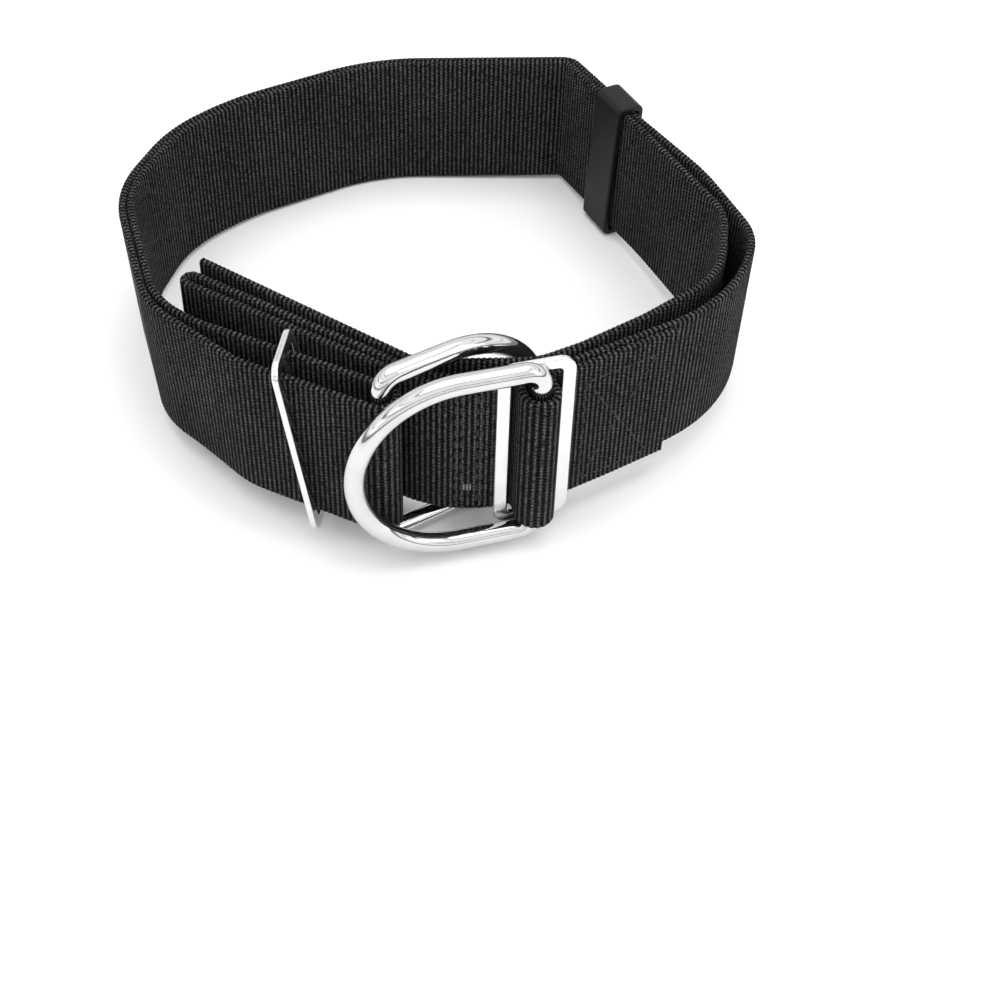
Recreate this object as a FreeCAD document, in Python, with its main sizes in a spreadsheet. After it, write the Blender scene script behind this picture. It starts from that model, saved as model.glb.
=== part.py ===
import FreeCAD, Part
import math
import os
import Sketcher

from FreeCAD import Placement, Rotation, Vector

# Webbing weight belt: one long strap of 50 mm webbing, wrapped twice round the waist, with two
# welded D-rings, two three-bar slides and a rubber keeper. Millimetres, +Z up.
#
# The belt is drawn in its own flat plan: x to the right, y away from the front, z along the width of
# the webbing, whose lower edge is z = 0. The rings and the keeper reach lower than the webbing, so
# the finished belt leans a little, until it stands on the rear ring, the keeper and the left of its
# back. Its origin is the middle of its footprint, on the surface that it stands on.

DIMENSIONS = [
    ("webbing_width", 50.0, "width of the webbing"),
    ("webbing_thick", 2.5, "thickness of the webbing"),
    ("layer_gap", 0.2, "air between layers that lie on each other"),
    ("wire_dia", 6.1, "D-ring wire"),
    ("ring_width", 62.4, "D-ring, between the centres of its two sides"),
    ("ring_side", 22.4, "straight side of a D-ring"),
    ("ring_corner", 5.0, "bend between a ring's bar and its sides"),
    ("front_ring_rise", 1.7, "middle of the front D-ring above the middle of the webbing"),
    ("rear_ring_rise", -0.6, "middle of the rear D-ring above the middle of the webbing"),
    ("slide_height", 62.5, "three-bar slide, across the webbing"),
    ("slide_slot", 55.0, "slot of a slide, across the webbing"),
    ("bar_wide", 4.3, "outer bar of a slide"),
    ("centre_bar", 4.4, "centre bar of a slide"),
    ("slot_wide", 5.0, "slot of a slide, along the webbing"),
    ("slide_thick", 2.0, "plate of a slide"),
    ("slide_corner", 5.0, "outer corner of a slide"),
    ("slot_corner", 1.2, "corner of a slide's slot"),
    ("slide_edge", 0.6, "rounding of a slide's edges"),
    ("front_slide_rise", 1.5, "middle of the front slide above the middle of the webbing"),
    ("slide_lean", 9.5, "how far the rear slide hangs out of square, degrees"),
    ("slide_heading", 83.0, "way the rear slide's plate faces across the belt, degrees"),
    ("keeper_long", 15.0, "keeper, along the webbing"),
    ("keeper_wall", 2.2, "rubber of the keeper"),
    ("keeper_room", 0.5, "air between keeper and the faces of the webbing"),
    ("keeper_edge_room", 0.8, "air between keeper and the edges of the webbing"),
    ("keeper_corner", 0.8, "inner corner of the keeper"),
    ("keeper_edge", 0.7, "rounding of the keeper's edges"),
    ("keeper_lean", 3.0, "how far the keeper sits out of square, degrees"),
    ("bar_room", 0.3, "air between a ring's bar and the slide behind it"),
    ("plate_room", 0.25, "air between the front slide and the webbing behind it"),
    ("stitch_long", 3.0, "length of one stitch"),
    ("stitch_step", 4.2, "from one stitch to the next"),
    ("thread_dia", 0.6, "sewing thread"),
    ("stand_slope_x", -0.0177, "rise of the surface the belt stands on, to the right"),
    ("stand_slope_y", 0.0566, "rise of the surface the belt stands on, to the back"),
]

doc = FreeCAD.newDocument("weight_belt")
sheet = doc.addObject("Spreadsheet::Sheet", "Sizes")
for row, (alias, value, note) in enumerate(DIMENSIONS, start=1):
    sheet.set(f"A{row}", note)
    sheet.set(f"B{row}", str(value))
    sheet.setAlias(f"B{row}", alias)
doc.recompute()


def size(alias):
    return float(getattr(sheet, alias))


WIDTH = size("webbing_width")
THICK = size("webbing_thick")
PITCH = THICK + size("layer_gap")          # from one layer to the next
WIRE = size("wire_dia")
HALF_WIDTH = WIDTH / 2
SLOT_OFF = (size("centre_bar") + size("slot_wide")) / 2   # slide centre to slot centre

UP = Vector(0, 0, 1)

# ---- plan geometry: a route is corners (x, y, radius) joined by straight runs and tangent arcs ----


def unit(angle):
    """Unit vector at an angle in degrees from +x."""
    return Vector(math.cos(math.radians(angle)), math.sin(math.radians(angle)), 0)


def left_of(direction):
    return Vector(-direction.y, direction.x, 0)


class Run:
    """A straight stretch of a route."""

    def __init__(self, start, end):
        self.start, self.end = start, end
        self.length = (end - start).Length
        self.turn = 0.0

    def at(self, fraction):
        direction = (self.end - self.start).normalize()
        return self.start + (self.end - self.start) * fraction, direction

    def part(self, low, high):
        return Run(self.at(low)[0], self.at(high)[0])

    def edge(self, offset):
        side = left_of((self.end - self.start).normalize()) * offset
        return Part.LineSegment(self.start + side, self.end + side)


class Bend:
    """A tangent arc of a route, turning by a signed angle in radians."""

    def __init__(self, centre, radius, first, turn):
        self.centre, self.radius, self.first, self.turn = centre, radius, first, turn
        self.length = radius * abs(turn)

    def at(self, fraction):
        angle = self.first + self.turn * fraction
        spoke = Vector(math.cos(angle), math.sin(angle), 0)
        direction = left_of(spoke) * (1 if self.turn > 0 else -1)
        return self.centre + spoke * self.radius, direction

    def part(self, low, high):
        return Bend(self.centre, self.radius, self.first + self.turn * low, self.turn * (high - low))

    def edge(self, offset):
        radius = self.radius - offset * (1 if self.turn > 0 else -1)
        low = min(self.first, self.first + self.turn)
        circle = Part.Circle(self.centre, UP, radius)
        return Part.ArcOfCircle(circle, low, low + abs(self.turn))


def make_route(corners):
    """Straight runs and tangent arcs through a list of corners (x, y, radius)."""
    points = [Vector(x, y, 0) for x, y, _ in corners]
    legs = []
    last = points[0]
    for before, here, after, (_, _, radius) in zip(points, points[1:], points[2:], corners[1:]):
        incoming = (here - before).normalize()
        outgoing = (after - here).normalize()
        turn = math.atan2(incoming.cross(outgoing).z, incoming.dot(outgoing))
        cut = radius * math.tan(abs(turn) / 2)
        first = here - incoming * cut
        if cut > (here - last).Length + 1e-6 or cut > (after - here).Length + 1e-6:
            raise ValueError(f"corner {here} has too large a radius")
        side = 1 if turn > 0 else -1
        centre = first + left_of(incoming) * radius * side
        spoke = first - centre
        legs.append(Run(last, first))
        legs.append(Bend(centre, radius, math.atan2(spoke.y, spoke.x), turn))
        last = here + outgoing * cut
    legs.append(Run(last, points[-1]))
    return legs


def stretch(legs, low, high):
    """Part of a route between two places, each a leg number plus a fraction of that leg."""
    high = min(high, len(legs))
    pieces = []
    for number, leg in enumerate(legs):
        start, end = max(low - number, 0.0), min(high - number, 1.0)
        if end - start > 1e-9:
            pieces.append(leg.part(start, end))
    return pieces


def inset(corners, distance):
    """Corners moved to the right of the direction of travel, so that the layer lies inside."""
    moved = []
    for (x0, y0, _), (x1, y1, radius), (x2, y2, _) in zip(corners, corners[1:], corners[2:]):
        incoming = Vector(x1 - x0, y1 - y0, 0).normalize()
        outgoing = Vector(x2 - x1, y2 - y1, 0).normalize()
        bisector = (left_of(incoming) + left_of(outgoing)).normalize()
        reach = distance / bisector.dot(left_of(incoming))
        turns_right = incoming.cross(outgoing).z < 0
        moved.append((x1 - bisector.x * reach, y1 - bisector.y * reach,
                      radius - distance if turns_right else radius + distance))
    return moved


# ---- where the rings and slides are, in plan ----

# rear ring: its bar, the direction in which its round end points, and the two layers of the belt
# that come off its bar side by side, running to the left
REAR_BAR = Vector(-14.9, -107.0, 0)
REAR_SWING = 31.0
BELT_DIRECTION = unit(180 - 26)
BELT_OUT = left_of(BELT_DIRECTION)                       # towards the outside of the belt
REAR_OUTER = REAR_BAR + BELT_OUT * SLOT_OFF
REAR_INNER = REAR_BAR - BELT_OUT * SLOT_OFF
SLIDE_REACH = 26.0                                       # rear slide, along the belt from the ring

# front ring and slide: the straight stretch of the sewn front layer under the slide
FRONT_HEADING = 14.5
FRONT_SEAT = Vector(28.0, -99.1, 0)                      # middle of the layer, under the slide
FRONT_ALONG = unit(FRONT_HEADING)
FRONT_OUT = left_of(FRONT_ALONG) * -1                    # towards the front
PLATE_OUT = THICK / 2 + size("plate_room") + size("slide_thick") / 2
BAR_OUT = PLATE_OUT + size("slide_thick") / 2 + size("bar_room") + WIRE / 2
FRONT_SLIDE_AT = FRONT_SEAT + FRONT_OUT * PLATE_OUT
FRONT_BAR = FRONT_SEAT + FRONT_OUT * BAR_OUT

# ---- the strap's routes, along the middle of its thickness ----

ROUND_THE_WAIST = [                                      # outer layer, from the rear ring clockwise
    (REAR_OUTER.x, REAR_OUTER.y, 0),
    (-56.0, -92.1, 30), (-85.5, -66.5, 34), (-102.6, -10.5, 45), (-90.0, 25.3, 55),
    (-70.7, 44.6, 92), (-22.3, 71.4, 72), (50.5, 72.5, 6), (70.2, 33.6, 150),
    (88.8, 0.3, 90), (100.4, -33.3, 24), (90.0, -65.2, 58),
]
BEHIND_THE_FRONT = [(34.7, -94.6, 22.3), (4.7, -102.4, 35.3)]
LOOP_FOLD = [(-73.8, -52.2, 2.25), (-76.2, -56.2, 2.2)]
FRONT_BEND = (3.9, -105.3, 38)
outer_route = make_route(ROUND_THE_WAIST + BEHIND_THE_FRONT + LOOP_FOLD + [FRONT_BEND]
                         + [(FRONT_SEAT.x, FRONT_SEAT.y, 0)])

inner_corners = inset(ROUND_THE_WAIST, PITCH)
inner_route = make_route(
    [(REAR_INNER.x, REAR_INNER.y, 0), (-68.9, -75.4, 30)] + inner_corners[1:7]
    + [(73.0, 22.0, 120), (92.8, -21.6, 24), (87.4, -53.0, 35), (62.3, -72.7, 60),
       (42.9, -85.2, 30), (29.6, -92.0, 22), (-4.4, -92.6, 15), (-70.9, -46.2, 0)])

# sewn flap: right of the front slide, lying on the outer layer
flap_route = make_route([(FRONT_SEAT.x, FRONT_SEAT.y, 0), (37.6, -96.6, 20), (70.4, -78.7, 0)])

WRAP_START = SLOT_OFF + 2.4                              # where the layer turns up into the slot
FOOT_RADIUS = 1.9                                        # bend at the foot of the wrap


def front_point(along, out, radius=0):
    place = FRONT_SEAT + FRONT_ALONG * along + FRONT_OUT * out
    return (place.x, place.y, radius)


rise_left = make_route([front_point(-WRAP_START, 0), front_point(-SLOT_OFF, 0, FOOT_RADIUS),
                        front_point(-SLOT_OFF, BAR_OUT)])
over_bar = [Bend(FRONT_BAR, SLOT_OFF, math.radians(FRONT_HEADING - 180), math.pi)]
rise_right = make_route([front_point(SLOT_OFF, BAR_OUT), front_point(SLOT_OFF, 0, FOOT_RADIUS),
                         front_point(WRAP_START, 0)])
round_rear_bar = [Bend(REAR_BAR, SLOT_OFF, math.atan2(-BELT_OUT.y, -BELT_OUT.x), -math.pi)]


def trim_to_wrap(legs, at_end):
    """Cut a layer back to where the wrap over the front ring's bar begins."""
    number = len(legs) - 1 if at_end else 0
    share = WRAP_START / legs[number].length
    return (number + 1 - share) if at_end else share


# ---- building ----

parts = {}


def body_with_sketch(name):
    body = doc.addObject("PartDesign::Body", name)
    body.Label = name
    sketch = body.newObject("Sketcher::SketchObject", name + "_outline")
    floor = next(item for item in body.Origin.OriginFeatures if item.Role == "XY_Plane")
    sketch.AttachmentSupport = (floor, "")
    sketch.MapMode = "FlatFace"
    parts[name] = body
    return body, sketch


def strap_section(name, legs, start_gap=0.0):
    """A stretch of webbing standing on its edge: both faces of the route, closed at its ends."""
    if start_gap:
        legs = [legs[0].part(start_gap / legs[0].length, 1.0)] + legs[1:]
    body, sketch = body_with_sketch(name)
    half = THICK / 2
    ends = []
    for place, direction in (legs[0].at(0.0), legs[-1].at(1.0)):
        side = left_of(direction) * half
        ends.append(Part.LineSegment(place + side, place - side))
    faces = [leg.edge(offset) for offset in (half, -half) for leg in legs]
    sketch.addGeometry(faces + ends, False)
    pad = body.newObject("PartDesign::Pad", name + "_width")
    pad.Profile = sketch
    pad.setExpression("Length", "Sizes.webbing_width")
    body.Tip = pad
    return body


def d_ring(name, bar, rise, swing):
    """Round wire bent to a D: a straight bar, two short sides and a round end."""
    body = doc.addObject("PartDesign::Body", name)
    body.Label = name
    planes = {item.Role: item for item in body.Origin.OriginFeatures}
    path = body.newObject("Sketcher::SketchObject", name + "_path")
    path.AttachmentSupport = (planes["XY_Plane"], "")
    path.MapMode = "FlatFace"
    half, side, corner = size("ring_width") / 2, size("ring_side"), size("ring_corner")

    def arc(x, y, radius, low, high):
        return Part.ArcOfCircle(Part.Circle(Vector(x, y, 0), UP, radius),
                                math.radians(low), math.radians(high))

    path.addGeometry([
        Part.LineSegment(Vector(0, corner - half, 0), Vector(0, half - corner, 0)),
        arc(corner, half - corner, corner, 90, 180),
        Part.LineSegment(Vector(corner, half, 0), Vector(side, half, 0)),
        arc(side, 0, half, -90, 90),
        Part.LineSegment(Vector(side, -half, 0), Vector(corner, -half, 0)),
        arc(corner, corner - half, corner, 180, 270),
    ], False)
    ring = body.newObject("Sketcher::SketchObject", name + "_wire")
    ring.AttachmentSupport = (planes["XZ_Plane"], "")
    ring.MapMode = "FlatFace"
    number = ring.addGeometry(Part.Circle(Vector(0, 0, 0), UP, WIRE / 2), False)
    ring.addConstraint(Sketcher.Constraint("Radius", number, WIRE / 2))
    ring.setExpression("Constraints[0]", "Sizes.wire_dia / 2")
    pipe = body.newObject("PartDesign::AdditivePipe", name + "_bend")
    pipe.Profile = ring
    pipe.Spine = (path, [f"Edge{i}" for i in range(1, 7)])
    body.Tip = pipe
    parts[name] = body
    stand = Rotation(Vector(1, 0, 0), 90)
    middle = bar + Vector(0, 0, HALF_WIDTH + rise)
    body.Placement = Placement(middle, Rotation(UP, swing) * stand)
    return body


def round_flat_faces(body, pad, alias):
    """Round the edges of a pad's two flat faces."""
    doc.recompute()
    flat = [f"Face{number}" for number, face in enumerate(pad.Shape.Faces, start=1)
            if abs(face.normalAt(0, 0).z) > 0.9]
    edges = body.newObject("PartDesign::Fillet", body.Name + "_edges")
    edges.Base = (pad, flat)
    edges.setExpression("Radius", "Sizes." + alias)
    body.Tip = edges


def rounded_rectangle(low_x, high_x, half_y, radius):
    """Sketch lines of a rectangle with round corners, from low_x to high_x."""
    corners = [(high_x, half_y, 0), (low_x, half_y, 90), (low_x, -half_y, 180), (high_x, -half_y, 270)]
    arcs = []
    for x, y, first in corners:
        centre = Vector(x - math.copysign(radius, x - (low_x + high_x) / 2),
                        y - math.copysign(radius, y), 0)
        arcs.append(Part.ArcOfCircle(Part.Circle(centre, UP, radius),
                                     math.radians(first), math.radians(first + 90)))
    lines = [Part.LineSegment(arc.EndPoint, after.StartPoint)
             for arc, after in zip(arcs, arcs[1:] + arcs[:1])]
    return arcs + lines


def three_bar_slide(name, place, turn):
    """A flat plate with two slots for the webbing and a bar between them. The turn is the way its
    bars lie side by side; they start upright."""
    body, sketch = body_with_sketch(name)
    high, slot = size("slide_height") / 2, size("slide_slot") / 2
    inner, outer = size("centre_bar") / 2, size("centre_bar") / 2 + size("slot_wide")
    wide = outer + size("bar_wide")

    sketch.addGeometry(rounded_rectangle(-wide, wide, high, size("slide_corner")), False)
    for low, top in ((-outer, -inner), (inner, outer)):
        sketch.addGeometry(rounded_rectangle(low, top, slot, size("slot_corner")), False)
    pad = body.newObject("PartDesign::Pad", name + "_plate")
    pad.Profile = sketch
    pad.Midplane = True
    pad.setExpression("Length", "Sizes.slide_thick")
    body.Tip = pad
    round_flat_faces(body, pad, "slide_edge")
    body.Placement = Placement(place, turn * Rotation(Vector(1, 0, 0), 90))
    return body


def keeper_band(name, place, heading):
    """A flat rubber ring round both layers of the belt."""
    body, sketch = body_with_sketch(name)
    room, wall = size("keeper_room"), size("keeper_wall")
    half_deep, half_high = (PITCH + THICK) / 2 + room, HALF_WIDTH + size("keeper_edge_room")
    corner = size("keeper_corner")
    for out in (0, wall):
        deep = half_deep + out
        sketch.addGeometry(rounded_rectangle(-deep, deep, half_high + out, corner + out), False)
    pad = body.newObject("PartDesign::Pad", name + "_band")
    pad.Profile = sketch
    pad.Midplane = True
    pad.setExpression("Length", "Sizes.keeper_long")
    body.Tip = pad
    round_flat_faces(body, pad, "keeper_edge")
    # the band's own axis lies along the belt and its y runs up the webbing
    along, across = unit(heading), left_of(unit(heading))
    turn = Placement(FreeCAD.Matrix(across.x, 0, along.x, 0, across.y, 0, along.y, 0, 0, 1, 0, 0,
                                    0, 0, 0, 1)).Rotation
    lean = Rotation(across, size("keeper_lean"))
    body.Placement = Placement(place + Vector(0, 0, HALF_WIDTH), lean * turn)
    return body


def place_on(legs, distance):
    """Point and direction at a distance along a route."""
    for leg in legs:
        if distance <= leg.length:
            return leg.at(distance / leg.length)
        distance -= leg.length
    return legs[-1].at(1.0)


def stitches(name, legs, lines, outward):
    """Rows of thread on the face of a layer. A line runs between two places on that face, each
    given by its distance along the layer and its height."""
    off = (THICK + size("thread_dia")) / 2 + 0.05
    step, long, thread = size("stitch_step"), size("stitch_long"), size("thread_dia")
    solids = []
    for (start_s, start_z), (end_s, end_z) in lines:
        run = math.hypot(end_s - start_s, end_z - start_z)
        count = max(1, round(run / step))
        for number in range(count):
            share = (number + 0.5) / count
            centre_s = start_s + (end_s - start_s) * share
            centre_z = start_z + (end_z - start_z) * share
            place, direction = place_on(legs, centre_s)
            out = left_of(direction) * outward
            slope = (direction * (end_s - start_s) + Vector(0, 0, end_z - start_z)).normalize()
            middle = place + out * off + Vector(0, 0, centre_z)
            solids.append(Part.makeCylinder(thread / 2, long, middle - slope * (long / 2), slope))
    thread_rows = doc.addObject("Part::Feature", name)
    thread_rows.Label = name
    thread_rows.Shape = Part.makeCompound(solids)
    parts[name] = thread_rows
    return thread_rows


# where the webbing is divided, as leg numbers of its route: legs are counted from the rear ring, two
# for each corner
AT_LEFT, AT_BACK, AT_KEEPER = 1.0, 6.5, 14.15
OUTER_FRONT, LOOP_START, LOOP_FOLD_START, LOOP_FOLD_END, LOOP_END = 22.6, 26.25, 27.0, 30.0, 30.8
INNER_FRONT, TAIL_HINGE, TAIL_END = 24.5, 28.132, 29.0
TAIL_GAP = 0.8                                           # air where the free tail is cut off, mm

# webbing of the outer layer and the front, in the order of the strap
for name, low, top in (
        ("left_outer_band", AT_LEFT, AT_BACK),
        ("back_outer_band", AT_BACK, AT_KEEPER),
        ("right_outer_band", AT_KEEPER, OUTER_FRONT),
        ("sewn_outer_layer", OUTER_FRONT, LOOP_START),
        ("closing_loop_rear", LOOP_START, LOOP_FOLD_START),
        ("closing_loop_fold", LOOP_FOLD_START, LOOP_FOLD_END),
        ("closing_loop_front", LOOP_FOLD_END, LOOP_END)):
    strap_section(name, stretch(outer_route, low, top))
panel_legs = stretch(outer_route, LOOP_END, trim_to_wrap(outer_route, True))
flap_legs = stretch(flap_route, trim_to_wrap(flap_route, False), len(flap_route))
strap_section("front_panel", panel_legs)
strap_section("front_ring_wrap", rise_left + over_bar + rise_right)
strap_section("sewn_flap", flap_legs)

# webbing round the rear ring's bar, then the inner layer to the free end
strap_section("rear_ring_outer_side", stretch(outer_route, 0.0, AT_LEFT))
strap_section("rear_ring_fold", round_rear_bar)
for name, low, top in (
        ("rear_ring_inner_side", 0.0, AT_LEFT),
        ("left_inner_band", AT_LEFT, AT_BACK),
        ("back_inner_band", AT_BACK, AT_KEEPER),
        ("right_inner_band", AT_KEEPER, INNER_FRONT),
        ("sewn_inner_layer", INNER_FRONT, TAIL_HINGE)):
    strap_section(name, stretch(inner_route, low, top))
strap_section("free_tail", stretch(inner_route, TAIL_HINGE, TAIL_END), start_gap=TAIL_GAP)

# hardware
slide_middle = REAR_BAR + BELT_DIRECTION * SLIDE_REACH
d_ring("front_d_ring", FRONT_BAR, size("front_ring_rise"), 180 + FRONT_HEADING)
d_ring("rear_d_ring", REAR_BAR, size("rear_ring_rise"), REAR_SWING)
three_bar_slide("front_slide", FRONT_SLIDE_AT + UP * (HALF_WIDTH + size("front_slide_rise")),
                Rotation(UP, FRONT_HEADING))
three_bar_slide("rear_slide", slide_middle + UP * HALF_WIDTH,
                Rotation(BELT_OUT, size("slide_lean")) * Rotation(UP, size("slide_heading")))
KEEPER_REACH = 33.0                                      # keeper, along the belt from the back corner
BACK_CORNER = 7                                          # its number in ROUND_THE_WAIST
side_start = Vector(*ROUND_THE_WAIST[BACK_CORNER][:2], 0)
side_direction = outer_route[2 * BACK_CORNER].at(0.5)[1]
keeper_place = side_start + side_direction * KEEPER_REACH - left_of(side_direction) * (PITCH / 2)
keeper_band("keeper", keeper_place, math.degrees(math.atan2(side_direction.y, side_direction.x)))

# sewing
flap_long = sum(leg.length for leg in flap_legs)
BOX_LONG, BOX_END, BOX_LOW, BOX_HIGH = 24.5, 6.8, 4.5, 43.5
near, far = flap_long - BOX_END - BOX_LONG, flap_long - BOX_END
box = [(near, BOX_LOW), (far, BOX_LOW), (far, BOX_HIGH), (near, BOX_HIGH)]
stitches("box_stitching", flap_legs,
         list(zip(box, box[1:] + box[:1])) + [(box[0], box[2]), (box[1], box[3])], -1)
panel_long = sum(leg.length for leg in panel_legs)
ROWS_BACK, ROW_EDGE = (7.4, 8.8, 13.4, 15.0), 3.0        # back from the wrap, in from the selvage
rows = [panel_long - back for back in ROWS_BACK]
stitches("row_stitching", panel_legs, [((row, ROW_EDGE), (row, WIDTH - ROW_EDGE)) for row in rows], -1)
TACK_HIGH, TACK_GAP, TACK_BACK, TACK_FOOT = 3.0, 0.9, 11.5, 8.2     # a bar tack of three stitches
tack = [panel_long - TACK_BACK + number * TACK_GAP for number in (-1, 0, 1)]
stitches("tack_stitching", panel_legs,
         [((bar, TACK_FOOT), (bar, TACK_FOOT + TACK_HIGH)) for bar in tack], -1)

doc.recompute()

# ---- stand the belt on its lowest points, and put the origin under its middle ----

surface_normal = Vector(-size("stand_slope_x"), -size("stand_slope_y"), 1)
lean = Placement(Vector(0, 0, 0), Rotation(surface_normal, UP))
for item in parts.values():
    item.Placement = lean * item.Placement
doc.recompute()


def tight_box(shape):
    return shape.optimalBoundingBox(False)


boxes = [tight_box(item.Shape) for item in parts.values()]
shift = Vector(-(min(b.XMin for b in boxes) + max(b.XMax for b in boxes)) / 2,
               -(min(b.YMin for b in boxes) + max(b.YMax for b in boxes)) / 2,
               -min(b.ZMin for b in boxes))
stand_at = Placement(shift, Rotation())
for item in parts.values():
    item.Placement = stand_at * item.Placement
doc.recompute()

for item in doc.Objects:
    if "Invalid" in item.State or "Error" in item.State:
        raise RuntimeError(f"{item.Label} failed: {item.State}")
for name, item in parts.items():
    if item.Shape.isNull() or not item.Shape.isValid():
        raise RuntimeError(f"{name} has no valid shape")

os.makedirs("parts", exist_ok=True)
for name, item in parts.items():
    item.Shape.exportStep(f"parts/{name}.step")
print("parts written:", len(parts))
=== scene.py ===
import math
import bpy
from mathutils import Matrix, Vector


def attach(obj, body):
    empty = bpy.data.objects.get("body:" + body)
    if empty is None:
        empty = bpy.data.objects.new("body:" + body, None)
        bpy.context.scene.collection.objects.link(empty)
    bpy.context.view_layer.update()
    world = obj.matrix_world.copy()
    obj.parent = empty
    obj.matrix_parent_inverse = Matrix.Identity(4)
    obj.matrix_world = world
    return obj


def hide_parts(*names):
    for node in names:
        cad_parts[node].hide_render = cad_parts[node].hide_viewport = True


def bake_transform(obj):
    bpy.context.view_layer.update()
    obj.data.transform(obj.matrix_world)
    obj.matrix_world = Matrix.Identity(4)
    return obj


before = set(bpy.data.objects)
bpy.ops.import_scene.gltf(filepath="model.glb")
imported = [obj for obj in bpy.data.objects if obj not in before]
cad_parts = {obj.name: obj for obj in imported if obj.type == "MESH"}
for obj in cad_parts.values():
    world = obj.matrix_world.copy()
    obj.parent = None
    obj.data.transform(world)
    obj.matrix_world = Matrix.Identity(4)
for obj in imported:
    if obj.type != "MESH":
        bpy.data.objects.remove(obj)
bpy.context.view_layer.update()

# Webbing weight belt. The strap is drawn in its own flat plan, in millimetres, x to the right and
# y away from the front, as in part.py, and then stood on its lowest points as the CAD is.

WIDTH, THICK, PITCH = 50.0, 2.5, 2.7          # webbing, and from one layer to the next
HALF = THICK / 2
SLOT_OFF = 4.7                                # slide centre to slot centre
UP = Vector((0, 0, 1))
MM = 0.001


# ---- plan geometry: a route is straight legs and tangent arcs through corners (x, y, radius) ----

def unit(angle):
    return Vector((math.cos(math.radians(angle)), math.sin(math.radians(angle)), 0))


def left_of(direction):
    return Vector((-direction.y, direction.x, 0))


def run(start, end):
    return {"start": start, "end": end, "length": (end - start).length}


def bend(centre, radius, first, turn):
    return {"centre": centre, "radius": radius, "first": first, "turn": turn,
            "length": radius * abs(turn)}


def on_leg(leg, fraction):
    """Point and direction on a leg."""
    if "turn" not in leg:
        along = leg["end"] - leg["start"]
        return leg["start"] + along * fraction, along.normalized()
    angle = leg["first"] + leg["turn"] * fraction
    spoke = Vector((math.cos(angle), math.sin(angle), 0))
    way = left_of(spoke) if leg["turn"] > 0 else -left_of(spoke)
    return leg["centre"] + spoke * leg["radius"], way


def make_route(corners):
    points = [Vector((x, y, 0)) for x, y, _ in corners]
    legs = []
    last = points[0]
    for before, here, after, corner in zip(points, points[1:], points[2:], corners[1:]):
        incoming, outgoing = (here - before).normalized(), (after - here).normalized()
        turn = math.atan2(incoming.cross(outgoing).z, incoming.dot(outgoing))
        cut = corner[2] * math.tan(abs(turn) / 2)
        first = here - incoming * cut
        centre = first + left_of(incoming) * math.copysign(corner[2], turn)
        spoke = first - centre
        legs.append(run(last, first))
        legs.append(bend(centre, corner[2], math.atan2(spoke.y, spoke.x), turn))
        last = here + outgoing * cut
    return legs + [run(last, points[-1])]


def backwards(legs):
    turned = []
    for leg in reversed(legs):
        if "turn" in leg:
            turned.append(bend(leg["centre"], leg["radius"], leg["first"] + leg["turn"],
                               -leg["turn"]))
        else:
            turned.append(run(leg["end"], leg["start"]))
    return turned


def shortened(legs, start=0.0, end=0.0):
    """The legs with a length cut off the straight leg at either end."""
    legs = list(legs)
    if start:
        legs[0] = run(on_leg(legs[0], start / legs[0]["length"])[0], legs[0]["end"])
    if end:
        legs[-1] = run(legs[-1]["start"], on_leg(legs[-1], 1 - end / legs[-1]["length"])[0])
    return legs


def inset(corners, distance):
    """Corners moved to the right of the direction of travel, so that the layer lies inside."""
    moved = []
    for (x0, y0, _), (x1, y1, radius), (x2, y2, _) in zip(corners, corners[1:], corners[2:]):
        incoming = Vector((x1 - x0, y1 - y0, 0)).normalized()
        outgoing = Vector((x2 - x1, y2 - y1, 0)).normalized()
        bisector = (left_of(incoming) + left_of(outgoing)).normalized()
        reach = distance / bisector.dot(left_of(incoming))
        side = -1 if incoming.cross(outgoing).z < 0 else 1
        moved.append((x1 - bisector.x * reach, y1 - bisector.y * reach, radius + side * distance))
    return moved


def along_to(legs, place):
    """Length from a route's start to a place, given as a leg number plus a fraction of that leg."""
    whole = min(int(place), len(legs) - 1)
    return sum(leg["length"] for leg in legs[:whole]) + legs[whole]["length"] * (place - whole)


def at_length(legs, length):
    for leg in legs:
        if length <= leg["length"]:
            return on_leg(leg, max(length, 0) / leg["length"])
        length -= leg["length"]
    return on_leg(legs[-1], 1.0)


# ---- the strap's route, from the free tail to the sewn flap ----

REAR_BAR = Vector((-14.9, -107.0, 0))
BELT_DIRECTION = unit(154)
BELT_OUT = left_of(BELT_DIRECTION)
REAR_OUTER = REAR_BAR + BELT_OUT * SLOT_OFF
REAR_INNER = REAR_BAR - BELT_OUT * SLOT_OFF
FRONT_HEADING = 14.5
FRONT_SEAT = Vector((28.0, -99.1, 0))
FRONT_ALONG = unit(FRONT_HEADING)
FRONT_OUT = -left_of(FRONT_ALONG)
BAR_OUT = 6.85                                # the front ring's bar stands this far out of the panel
WRAP_START = 7.1                              # the wrap starts and ends this far to either side of it
FOOT_RADIUS = 1.9                             # the webbing's bend out of the panel

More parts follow.
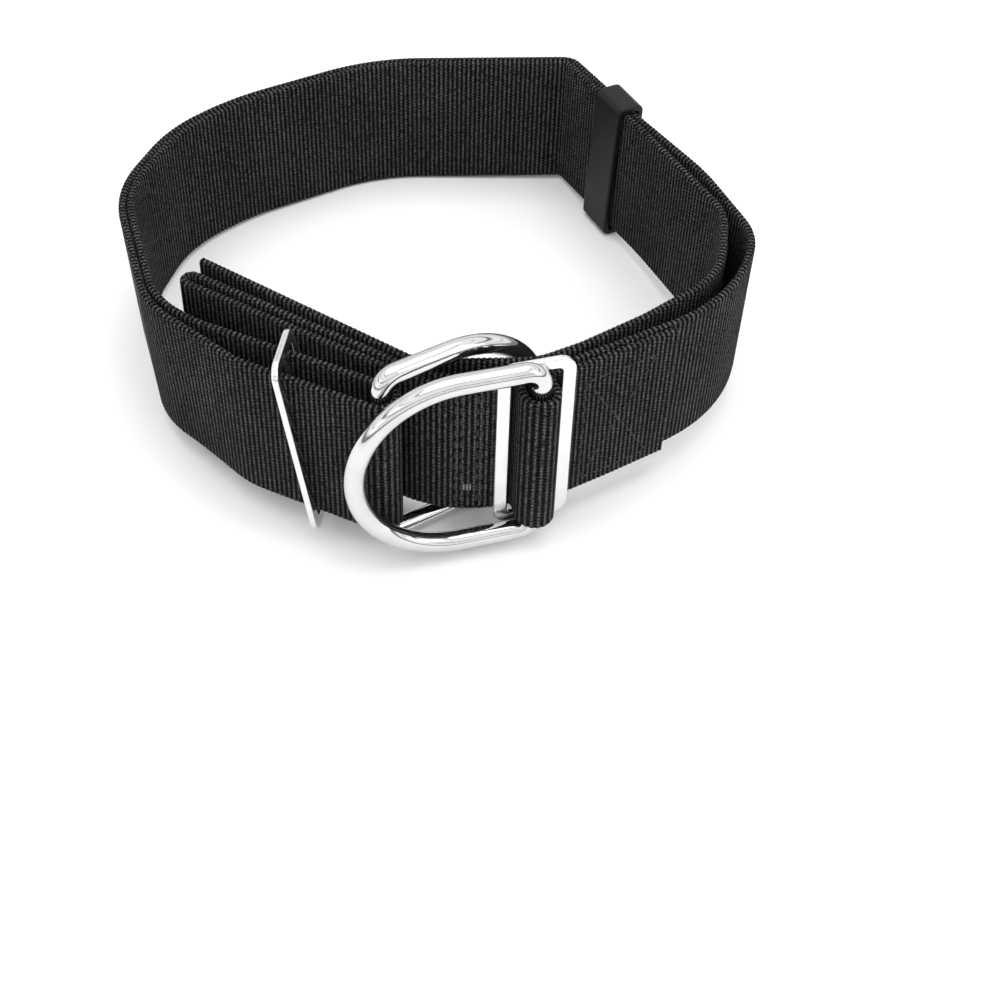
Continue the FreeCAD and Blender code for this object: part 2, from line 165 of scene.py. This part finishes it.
ROUND_THE_WAIST = [
    (REAR_OUTER.x, REAR_OUTER.y, 0),
    (-56.0, -92.1, 30), (-85.5, -66.5, 34), (-102.6, -10.5, 45), (-90.0, 25.3, 55),
    (-70.7, 44.6, 92), (-22.3, 71.4, 72), (50.5, 72.5, 6), (70.2, 33.6, 150),
    (88.8, 0.3, 90), (100.4, -33.3, 24), (90.0, -65.2, 58),
]
outer_route = make_route(ROUND_THE_WAIST + [
    (34.7, -94.6, 22.3), (4.7, -102.4, 35.3), (-73.8, -52.2, 2.25), (-76.2, -56.2, 2.2),
    (3.9, -105.3, 38), (FRONT_SEAT.x, FRONT_SEAT.y, 0)])
inner_route = make_route(
    [(REAR_INNER.x, REAR_INNER.y, 0), (-68.9, -75.4, 30)] + inset(ROUND_THE_WAIST, PITCH)[1:7]
    + [(73.0, 22.0, 120), (92.8, -21.6, 24), (87.4, -53.0, 35), (62.3, -72.7, 60),
       (42.9, -85.2, 30), (29.6, -92.0, 22), (-4.4, -92.6, 15), (-70.9, -46.2, 0)])
flap_route = make_route([(FRONT_SEAT.x, FRONT_SEAT.y, 0), (37.6, -96.6, 20), (70.4, -78.7, 0)])


def front_point(along, out, radius=0):
    place = FRONT_SEAT + FRONT_ALONG * along + FRONT_OUT * out
    return (place.x, place.y, radius)


rise_left = make_route([front_point(-WRAP_START, 0), front_point(-SLOT_OFF, 0, FOOT_RADIUS),
                        front_point(-SLOT_OFF, BAR_OUT)])
rise_right = make_route([front_point(SLOT_OFF, BAR_OUT), front_point(SLOT_OFF, 0, FOOT_RADIUS),
                         front_point(WRAP_START, 0)])
FRONT_BAR = FRONT_SEAT + FRONT_OUT * BAR_OUT
over_bar = [bend(FRONT_BAR, SLOT_OFF, math.radians(FRONT_HEADING - 180), math.pi)]
round_rear_bar = [bend(REAR_BAR, SLOT_OFF, math.atan2(-BELT_OUT.y, -BELT_OUT.x), -math.pi)]

panel_and_round = shortened(outer_route, end=WRAP_START)
flap_legs = shortened(flap_route, start=WRAP_START)
inner_long = along_to(inner_route, len(inner_route))
rear_long = inner_long + round_rear_bar[0]["length"]
wrap_at = rear_long + along_to(panel_and_round, len(panel_and_round))
whole_route = (backwards(inner_route) + round_rear_bar + panel_and_round
               + rise_left + over_bar + rise_right + flap_legs)
WHOLE = sum(leg["length"] for leg in whole_route)


def inner_at(place):
    return inner_long - along_to(inner_route, place)


def outer_at(place):
    return rear_long + along_to(outer_route, place)


# ---- from the plan to the standing belt, in metres ----

STAND_NORMAL = Vector((0.0177, -0.0566, 1))
STAND_SHIFT = Vector((1.0325, 22.1430, 4.3746)) * MM
STAND = Matrix.Translation(STAND_SHIFT) @ STAND_NORMAL.rotation_difference(UP).to_matrix().to_4x4()


# the belt's sides lean: near its front corners the lower edge lies further in than the upper one
LEAN_LEFT, LEAN_RIGHT = 2.2, 0.9              # at the foot of the webbing
LEAN_ABOUT = Vector((0, -20, 0))
LEAN_SIDE = (48, 80)                          # from the middle outwards, the lean grows over this
LEAN_FRONT = (-22, 22)                        # and forwards over this, counted from y = 0


def ease(value, start, end):
    share = max(0.0, min(1.0, (value - start) / (end - start)))
    return share * share * (3 - 2 * share)


def leaning(point):
    side = ease(abs(point.x), *LEAN_SIDE)
    front = ease(-point.y, *LEAN_FRONT)
    low = 1 - point.z / WIDTH
    lean = LEAN_LEFT if point.x < 0 else LEAN_RIGHT
    amount = lean * side * front * low
    inward = LEAN_ABOUT - Vector((point.x, point.y, 0))
    return point + inward.normalized() * amount


def placed(point):
    return STAND @ (point * MM)


# ---- materials ----

def new_material(name, colour, roughness, **constants):
    """A material with its Principled shader; constants go on the shader's own sockets."""
    material = bpy.data.materials.new(name)
    material.use_nodes = True
    shader = material.node_tree.nodes["Principled BSDF"]
    shader.inputs["Base Color"].default_value = (*colour, 1)
    shader.inputs["Roughness"].default_value = roughness
    for socket, value in constants.items():
        shader.inputs[socket.replace("_", " ")].default_value = value
    return material, shader


class Nodes:
    """Short calls for the nodes of one material."""

    def __init__(self, material):
        self.tree = material.node_tree

    def new(self, kind, inputs=(), **settings):
        node = self.tree.nodes.new(kind)
        for key, value in settings.items():
            setattr(node, key, value)
        for socket, value in dict(inputs).items():
            if isinstance(value, bpy.types.NodeSocket):
                self.tree.links.new(value, node.inputs[socket])
            else:
                node.inputs[socket].default_value = value
        return node

    def maths(self, operation, a, b=None, clamp=False):
        inputs = {0: a} if b is None else {0: a, 1: b}
        return self.new("ShaderNodeMath", inputs, operation=operation,
                        use_clamp=clamp).outputs[0]

    def noise(self, scale, detail, vector):
        inputs = {"Scale": scale, "Detail": detail, "Vector": vector}
        return self.new("ShaderNodeTexNoise", inputs).outputs["Fac"]

    def between(self, factor, low, high):
        """A colour between two, by a factor."""
        ramp = self.new("ShaderNodeValToRGB", {"Fac": factor})
        ramp.color_ramp.elements[0].color = (*low, 1)
        ramp.color_ramp.elements[1].color = (*high, 1)
        return ramp.outputs["Color"]

    def spread(self, value, low, high, to_low, to_high):
        return self.new("ShaderNodeMapRange", {"Value": value, "From Min": low, "From Max": high,
                                               "To Min": to_low, "To Max": to_high}).outputs[0]

    def object_place(self):
        return self.new("ShaderNodeTexCoord").outputs["Object"]

    def bump(self, height, distance, strength):
        return self.new("ShaderNodeBump", {"Height": height, "Distance": distance,
                                           "Strength": strength}).outputs["Normal"]


RIB = 1.66                                    # from one rib of the webbing to the next
YARN = 1.25                                   # from one warp yarn to the next


def make_webbing():
    """Black ribbed webbing: the UV map counts ribs along the strap and millimetres across it. Its
    colour holds painted shade in the grooves and pits and painted highlights on the crests.
    """
    material, shader = new_material("webbing", (0.02, 0.02, 0.02), 0.6, Specular_IOR_Level=0.02)
    n = Nodes(material)
    split = n.new("ShaderNodeSeparateXYZ", {0: n.new("ShaderNodeUVMap", uv_map="strap").outputs[0]})
    ribs, across = split.outputs[0], split.outputs[1]
    rib_wave = n.maths("COSINE", n.maths("MULTIPLY", ribs, 2 * math.pi))
    # the grooves between the ribs are painted dark: painted shade
    groove = n.spread(rib_wave, 0.85, -0.35, 0.0, 1.0)
    place = n.object_place()
    lint_and_glint = n.noise(1300.0, 2.0, place)
    cloud = n.noise(38.0, 3.0, place)
    # painted shade in pits between the ribs, staggered from one groove to the next, and a painted
    # highlight on a beaded crest
    wander = n.spread(n.noise(420.0, 2.0, place), 0.3, 0.7, -1.2, 1.2)
    yarn_turn = n.maths("ADD", n.maths("MULTIPLY", across, 2 * math.pi / YARN), wander)
    yarn_wave = n.maths("COSINE", yarn_turn)
    stagger = n.maths("SINE", n.maths("MULTIPLY", ribs, math.pi))
    pit_shade = n.spread(n.maths("MULTIPLY", yarn_wave, stagger), -0.8, 0.5, 0.0, 1.0)
    # the yarn beads along each crest are painted lighter: painted highlight
    rib_turn = n.maths("COSINE", n.maths("MULTIPLY", ribs, math.pi))
    bead_highlight = n.spread(n.maths("MULTIPLY", yarn_wave, rib_turn), -1.0, 1.0, 0.55, 1.0)
    # grooves and pits together are the painted shade; the same mask also sinks them in the bump
    groove_and_pit_shade = n.maths("MULTIPLY", groove, n.spread(pit_shade, 0.0, 1.0, 0.65, 1.0))
    # lightness of the webbing's colour: painted shade in grooves and pits, painted highlight on the
    # crests
    light = n.maths("MULTIPLY", n.maths("SUBTRACT", 1.0, groove_and_pit_shade), bead_highlight)
    # fine specks in the colour: real lint and fibre tone, with painted highlight glints where the
    # specks brighten past the crests
    light = n.maths("MULTIPLY", light, n.spread(lint_and_glint, 0.3, 0.7, 0.2, 1.35))
    light = n.maths("MULTIPLY", light, n.spread(cloud, 0.3, 0.7, 0.85, 1.15), clamp=True)
    light = n.maths("POWER", light, 1.3)
    # from the painted shade of the grooves, near black, to the painted highlight on the crests
    colour = n.between(light, (0.0008, 0.0008, 0.0008), (0.108, 0.108, 0.108))
    n.tree.links.new(colour, shader.inputs["Base Color"])
    rough = n.spread(lint_and_glint, 0.3, 0.7, 0.5, 0.72)
    n.tree.links.new(rough, shader.inputs["Roughness"])
    height = n.maths("SUBTRACT", n.maths("MULTIPLY", lint_and_glint, 0.5), n.maths("MULTIPLY", groove_and_pit_shade, 0.8))
    n.tree.links.new(n.bump(height, 0.00018, 0.9), shader.inputs["Normal"])
    return material


def make_steel(name, base, rough_low, rough_high, grain):
    """Polished stainless steel with faint wear marks."""
    material, shader = new_material(name, base, rough_low, Metallic=1.0)
    n = Nodes(material)
    place = n.object_place()
    wear = n.noise(140.0, 4.0, place)
    marks = n.noise(grain, 2.0, place)
    mixed = n.maths("MULTIPLY", wear, marks)
    n.tree.links.new(n.spread(mixed, 0.12, 0.42, rough_low, rough_high), shader.inputs["Roughness"])
    tint = n.between(n.spread(wear, 0.35, 0.75, 0.0, 1.0), base, tuple(c * 0.9 for c in base))
    n.tree.links.new(tint, shader.inputs["Base Color"])
    n.tree.links.new(n.bump(marks, 0.00002, 0.35), shader.inputs["Normal"])
    return material


def make_rubber():
    material, shader = new_material("keeper_rubber", (0.015, 0.015, 0.015), 0.45,
                                    Specular_IOR_Level=0.14)
    n = Nodes(material)
    place = n.object_place()
    fine, broad = n.noise(1500.0, 2.0, place), n.noise(60.0, 3.0, place)
    n.tree.links.new(n.between(broad, (0.009, 0.0093, 0.0095), (0.0135, 0.0139, 0.0141)),
                     shader.inputs["Base Color"])
    n.tree.links.new(n.spread(broad, 0.3, 0.7, 0.36, 0.5), shader.inputs["Roughness"])
    n.tree.links.new(n.bump(fine, 0.00003, 0.5), shader.inputs["Normal"])
    return material


def make_thread(name, low, high):
    material, shader = new_material(name, high, 0.5)
    n = Nodes(material)
    twist = n.new("ShaderNodeTexWave", {"Vector": n.object_place(), "Scale": 900.0,
                                        "Distortion": 1.0}, bands_direction="DIAGONAL").outputs["Fac"]
    n.tree.links.new(n.between(twist, low, high), shader.inputs["Base Color"])
    n.tree.links.new(n.spread(twist, 0.0, 1.0, 0.65, 0.45), shader.inputs["Roughness"])
    n.tree.links.new(n.bump(twist, 0.00005, 0.6), shader.inputs["Normal"])
    return material


webbing = make_webbing()
ring_steel = make_steel("ring_steel", (0.64, 0.64, 0.64), 0.05, 0.11, 2200.0)
slide_steel = make_steel("slide_steel", (0.78, 0.78, 0.775), 0.14, 0.26, 3200.0)
rubber = make_rubber()
black_thread = make_thread("black_thread", (0.004, 0.004, 0.004), (0.022, 0.022, 0.022))
grey_thread = make_thread("grey_thread", (0.09, 0.09, 0.075), (0.3, 0.3, 0.26))

for node, material in (("front_d_ring", ring_steel), ("rear_d_ring", ring_steel),
                       ("front_slide", slide_steel), ("rear_slide", slide_steel),
                       ("keeper", rubber)):
    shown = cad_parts[node]
    shown.data.materials.clear()
    shown.data.materials.append(material)

# ---- webbing ----

RIB_COUNT = round(WHOLE / RIB)
RIB_STEP = WHOLE / RIB_COUNT
RIB_PROFILE = ((0.0, 0.0), (0.3, 0.22), (0.5, 1.0), (0.7, 0.22))   # place in the rib, depth
RIB_DEPTH = 0.27                              # of a groove, in the face of the webbing
SELVAGE_DEPTH = 0.25                          # and in its edge
CLOSE = 1e-6
# section of the strap, half of it: distance in from the selvage and half thickness
SELVAGE = ((0.0, 0.4), (0.25, 0.95), (0.9, HALF))
HALF_SECTION = (list(SELVAGE) + [(WIDTH / 2, HALF)]
                + [(WIDTH - edge, side) for edge, side in reversed(SELVAGE)])
SECTION = HALF_SECTION + [(height, -side) for height, side in reversed(HALF_SECTION)]


def section_at(length, depth, leans):
    """The strap's section at a length along it, its ribs cut in by a share of their depth."""
    place, direction = at_length(whole_route, length)
    side = left_of(direction)
    ring = []
    for height, across in SECTION:
        edge = min(height, WIDTH - height)
        slim = 1 - depth * RIB_DEPTH / HALF
        lift = depth * SELVAGE_DEPTH * max(0.0, 1 - edge / SELVAGE[-1][0])
        up = height + (lift if height < WIDTH / 2 else -lift)
        point = place + side * (across * slim) + UP * up
        ring.append(placed(leaning(point) if leans else point))
    return ring


around = [0.0]                                # length round the section, to each of its points
for (h0, a0), (h1, a1) in zip(SECTION, SECTION[1:] + SECTION[:1]):
    around.append(around[-1] + math.hypot(h1 - h0, a1 - a0))


def mesh_piece(name, points, faces, material):
    mesh = bpy.data.meshes.new(name)
    mesh.from_pydata([tuple(p) for p in points], [], faces)
    mesh.update()
    mesh.materials.append(material)
    mesh.polygons.foreach_set("use_smooth", [True] * len(mesh.polygons))
    piece = bpy.data.objects.new(name, mesh)
    bpy.context.scene.collection.objects.link(piece)
    return piece


def groove_near(length):
    """The groove nearest to a length along the strap, counted in ribs: grooves lie at the halves."""
    return 0.5 + max(0, min(RIB_COUNT, round(length / RIB_STEP - 0.5)))


def rib_stations(first, last):
    """The points of the ribs' profile between two places counted in ribs, each with its depth."""
    return [(rib + phase, depth)
            for rib in range(int(first) - 1, int(last) + 2)
            for phase, depth in RIB_PROFILE
            if first - CLOSE <= rib + phase <= last + CLOSE]


def strap_piece(name, start, end, nodes, body="strap", ends=(False, False), leans=True):
    """Webbing between two lengths along the strap, divided in the nearest grooves. A real end of
    the strap, marked in ends, is cut on top of a rib."""
    first = 0.0 if ends[0] else groove_near(start)
    last = float(RIB_COUNT) if ends[1] else groove_near(end)
    stations = rib_stations(first, last)
    points, faces = [], []
    n = len(SECTION)
    for rib, depth in stations:
        points += section_at(rib * RIB_STEP, depth, leans)
    for k in range(len(stations) - 1):
        for j in range(n):
            faces.append((k * n + j, k * n + (j + 1) % n, (k + 1) * n + (j + 1) % n, (k + 1) * n + j))
    caps = len(faces)
    faces.append(tuple(range(n))[::-1])
    faces.append(tuple(range((len(stations) - 1) * n, len(stations) * n)))
    piece = mesh_piece(name, points, faces, webbing)
    mesh = piece.data
    uv = mesh.uv_layers.new(name="strap")
    for number, polygon in enumerate(mesh.polygons):
        for loop in polygon.loop_indices:
            k, j = divmod(mesh.loops[loop].vertex_index, n)
            if number < caps and number % n == n - 1 and j == 0:
                j = n
            uv.data[loop].uv = (stations[k][0], around[j])
    sharp = set()
    for cap in (caps, caps + 1):
        loops = mesh.polygons[cap].loop_indices
        ring = [mesh.loops[loop].vertex_index for loop in loops]
        sharp |= {tuple(sorted(pair)) for pair in zip(ring, ring[1:] + ring[:1])}
    for edge in mesh.edges:
        if tuple(sorted(edge.vertices)) in sharp:
            edge.use_edge_sharp = True
    if body is not None:
        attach(piece, body)
    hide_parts(*nodes)
    return piece


# where the webbing is divided, as leg numbers of its route: legs are counted from the rear ring, two
# for each corner
AT_LEFT, AT_BACK, AT_KEEPER = 1.0, 6.5, 14.15
OUTER_FRONT, LOOP_START, LOOP_END = 22.6, 26.25, 30.8
INNER_FRONT, TAIL_LEG = 24.5, 28

tail_root = inner_at(TAIL_LEG)
tail = strap_piece("tail_webbing", 0.0, tail_root, ["free_tail"], body=None, ends=(True, False),
                   leans=False)
strap_piece("sewn_inner_webbing", tail_root, inner_at(INNER_FRONT), ["sewn_inner_layer"])
strap_piece("right_inner_webbing", inner_at(INNER_FRONT), inner_at(AT_KEEPER), ["right_inner_band"])
strap_piece("back_inner_webbing", inner_at(AT_KEEPER), inner_at(AT_BACK), ["back_inner_band"])
strap_piece("left_inner_webbing", inner_at(AT_BACK), inner_at(AT_LEFT), ["left_inner_band"])
strap_piece("rear_ring_webbing", inner_at(AT_LEFT), outer_at(AT_LEFT),
            ["rear_ring_inner_side", "rear_ring_fold", "rear_ring_outer_side"])
strap_piece("left_outer_webbing", outer_at(AT_LEFT), outer_at(AT_BACK), ["left_outer_band"])
strap_piece("back_outer_webbing", outer_at(AT_BACK), outer_at(AT_KEEPER), ["back_outer_band"])
strap_piece("right_outer_webbing", outer_at(AT_KEEPER), outer_at(OUTER_FRONT), ["right_outer_band"])
strap_piece("sewn_outer_webbing", outer_at(OUTER_FRONT), outer_at(LOOP_START), ["sewn_outer_layer"])
strap_piece("closing_loop_webbing", outer_at(LOOP_START), outer_at(LOOP_END),
            ["closing_loop_rear", "closing_loop_fold", "closing_loop_front"], leans=False)
strap_piece("front_panel_webbing", outer_at(LOOP_END), wrap_at, ["front_panel"])
wrap_end = wrap_at + sum(leg["length"] for leg in rise_left + over_bar + rise_right)
strap_piece("ring_wrap_webbing", wrap_at, wrap_end, ["front_ring_wrap"])
strap_piece("flap_webbing", wrap_end, WHOLE, ["sewn_flap"], ends=(False, True))

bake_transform(tail)

# ---- sewing ----

STITCH_LONG, STITCH_STEP = 3.0, 4.2
THREAD = 0.3                                  # radius of the thread
STITCH_SIDES, STITCH_RINGS = 7, 9
STITCH_PROUD, STITCH_SINK = 0.12, 0.75        # its middle stands proud and its ends are sunk
STITCH_TAPER = 0.35                           # share of the radius lost at its ends


def stitch_rows(name, legs, lines, material):
    """Rows of stitches on the outer face of a layer. Each stitch is a short arch of thread whose
    ends go down into the webbing."""
    points, faces = [], []
    for (start_s, start_z), (end_s, end_z) in lines:
        row_long = math.hypot(end_s - start_s, end_z - start_z)
        count = max(1, round(row_long / STITCH_STEP))
        for number in range(count):
            middle = (number + 0.5) / count
            base = len(points)
            for k in range(STITCH_RINGS):
                turn = k / (STITCH_RINGS - 1) * 2 - 1
                share = middle + turn * STITCH_LONG / 2 / row_long
                place, direction = at_length(legs, start_s + (end_s - start_s) * share)
                out = -left_of(direction)
                slope = (direction * (end_s - start_s) + UP * (end_z - start_z)).normalized()
                sink = STITCH_SINK * abs(turn) ** 4
                height = start_z + (end_z - start_z) * share
                centre = place + out * (HALF + STITCH_PROUD - sink) + UP * height
                sideways = out.cross(slope)
                radius = THREAD * (1 - STITCH_TAPER * abs(turn) ** 3)
                for j in range(STITCH_SIDES):
                    angle = 2 * math.pi * j / STITCH_SIDES
                    points.append(placed(leaning(centre + out * (math.cos(angle) * radius)
                                                 + sideways * (math.sin(angle) * radius))))
            m = STITCH_SIDES
            for k in range(STITCH_RINGS - 1):
                for j in range(m):
                    a, b = base + k * m + j, base + k * m + (j + 1) % m
                    faces.append((a, b, b + m, a + m))
            faces.append(tuple(range(base, base + m))[::-1])
            faces.append(tuple(range(base + (STITCH_RINGS - 1) * m, base + STITCH_RINGS * m)))
    piece = mesh_piece(name, points, faces, material)
    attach(piece, "strap")
    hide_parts(name.replace("_thread", "_stitching"))


flap_long = sum(leg["length"] for leg in flap_legs)
BOX_LONG, BOX_END, BOX_LOW, BOX_HIGH = 24.5, 6.8, 4.5, 43.5
near, far = flap_long - BOX_END - BOX_LONG, flap_long - BOX_END
box = [(near, BOX_LOW), (far, BOX_LOW), (far, BOX_HIGH), (near, BOX_HIGH)]
stitch_rows("box_thread", flap_legs,
            list(zip(box, box[1:] + box[:1])) + [(box[0], box[2]), (box[1], box[3])],
            black_thread)
panel_end = along_to(panel_and_round, len(panel_and_round))
ROWS_BACK, ROW_EDGE = (7.4, 8.8, 13.4, 15.0), 3.0
rows = [panel_end - back for back in ROWS_BACK]
stitch_rows("row_thread", panel_and_round,
            [((row, ROW_EDGE), (row, WIDTH - ROW_EDGE)) for row in rows], black_thread)
TACK_HIGH, TACK_GAP, TACK_BACK, TACK_FOOT = 3.0, 0.9, 11.5, 8.2     # a bar tack of three stitches
tack = [panel_end - TACK_BACK + number * TACK_GAP for number in (-1, 0, 1)]
stitch_rows("tack_thread", panel_and_round,
            [((bar, TACK_FOOT), (bar, TACK_FOOT + TACK_HIGH)) for bar in tack],
            grey_thread)

# ---- floor, light and camera ----

FLOOR_REACH, FLOOR_DROP = 6.0, 0.0002
floor_mesh = bpy.data.meshes.new("floor")
floor_mesh.from_pydata([(x * FLOOR_REACH, y * FLOOR_REACH, 0)
                        for x, y in ((-1, -1), (1, -1), (1, 1), (-1, 1))], [], [(0, 1, 2, 3)])
floor = bpy.data.objects.new("floor", floor_mesh)
floor.location.z = -FLOOR_DROP
floor_material, _ = new_material("floor", (0.93, 0.93, 0.93), 0.9)
floor_mesh.materials.append(floor_material)
bpy.context.scene.collection.objects.link(floor)

STUDIO_STRENGTH = 1.35
# a white studio with grey bands, which show as fine streaks in the polished steel: how far up, from
# level to straight above, and how bright
BANDS = ((0.0, 0.22), (0.09, 0.22), (0.13, 0.9), (0.24, 1.0), (0.27, 0.3), (0.29, 1.0),
         (0.42, 1.0), (0.45, 0.15), (0.50, 0.2), (0.53, 0.95), (0.68, 1.0), (0.70, 0.4),
         (0.72, 1.0), (0.84, 1.0), (0.87, 0.3), (0.90, 1.0))
world = bpy.data.worlds.new("studio")
bpy.context.scene.world = world
world.use_nodes = True
background = world.node_tree.nodes["Background"]
background.inputs[1].default_value = STUDIO_STRENGTH
sky = Nodes(world)
direction = sky.new("ShaderNodeTexCoord").outputs["Generated"]
upwards = sky.new("ShaderNodeSeparateXYZ", {0: direction}).outputs[2]
studio = sky.new("ShaderNodeValToRGB", {"Fac": upwards})
ramp = studio.color_ramp
for number, (position, grey) in enumerate(BANDS):
    if number < 2:
        stop = ramp.elements[number]
        stop.position = position
    else:
        stop = ramp.elements.new(position)
    stop.color = (grey, grey, grey, 1)
world.node_tree.links.new(studio.outputs["Color"], background.inputs[0])


LIGHT_AIM = Vector((0, 0, 0.03))


def softbox(name, place, wide, high, power):
    light = bpy.data.lights.new(name, "AREA")
    light.shape = "RECTANGLE"
    light.size, light.size_y, light.energy = wide, high, power
    lamp = bpy.data.objects.new(name, light)
    lamp.location = place
    lamp.rotation_euler = (LIGHT_AIM - Vector(place)).to_track_quat("-Z", "Y").to_euler()
    bpy.context.scene.collection.objects.link(lamp)


softbox("top_light", (0.0, 0.1, 1.3), 1.2, 1.0, 8.0)
softbox("left_light", (-1.1, -0.8, 0.7), 0.5, 0.9, 0.9)
softbox("right_light", (1.1, -0.5, 0.8), 0.5, 0.9, 3.0)

# the camera was worked out in the belt's own plan, so it is stood up with it
CAMERA_AT = Vector((0.0, -0.420, 0.3438))
CAMERA_TILT = math.radians(50.3)              # from straight down
camera_data = bpy.data.cameras.new("camera")
camera_data.sensor_width = 36.0
camera_data.lens = 55.89
camera_data.shift_x = 0.0668
camera_data.shift_y = -0.2003
camera_data.clip_start = 0.01
camera = bpy.data.objects.new("camera", camera_data)
camera.matrix_world = STAND @ Matrix.Translation(CAMERA_AT) @ Matrix.Rotation(CAMERA_TILT, 4, "X")
bpy.context.scene.collection.objects.link(camera)
bpy.context.scene.camera = camera
bpy.context.scene.view_settings.view_transform = "Standard"
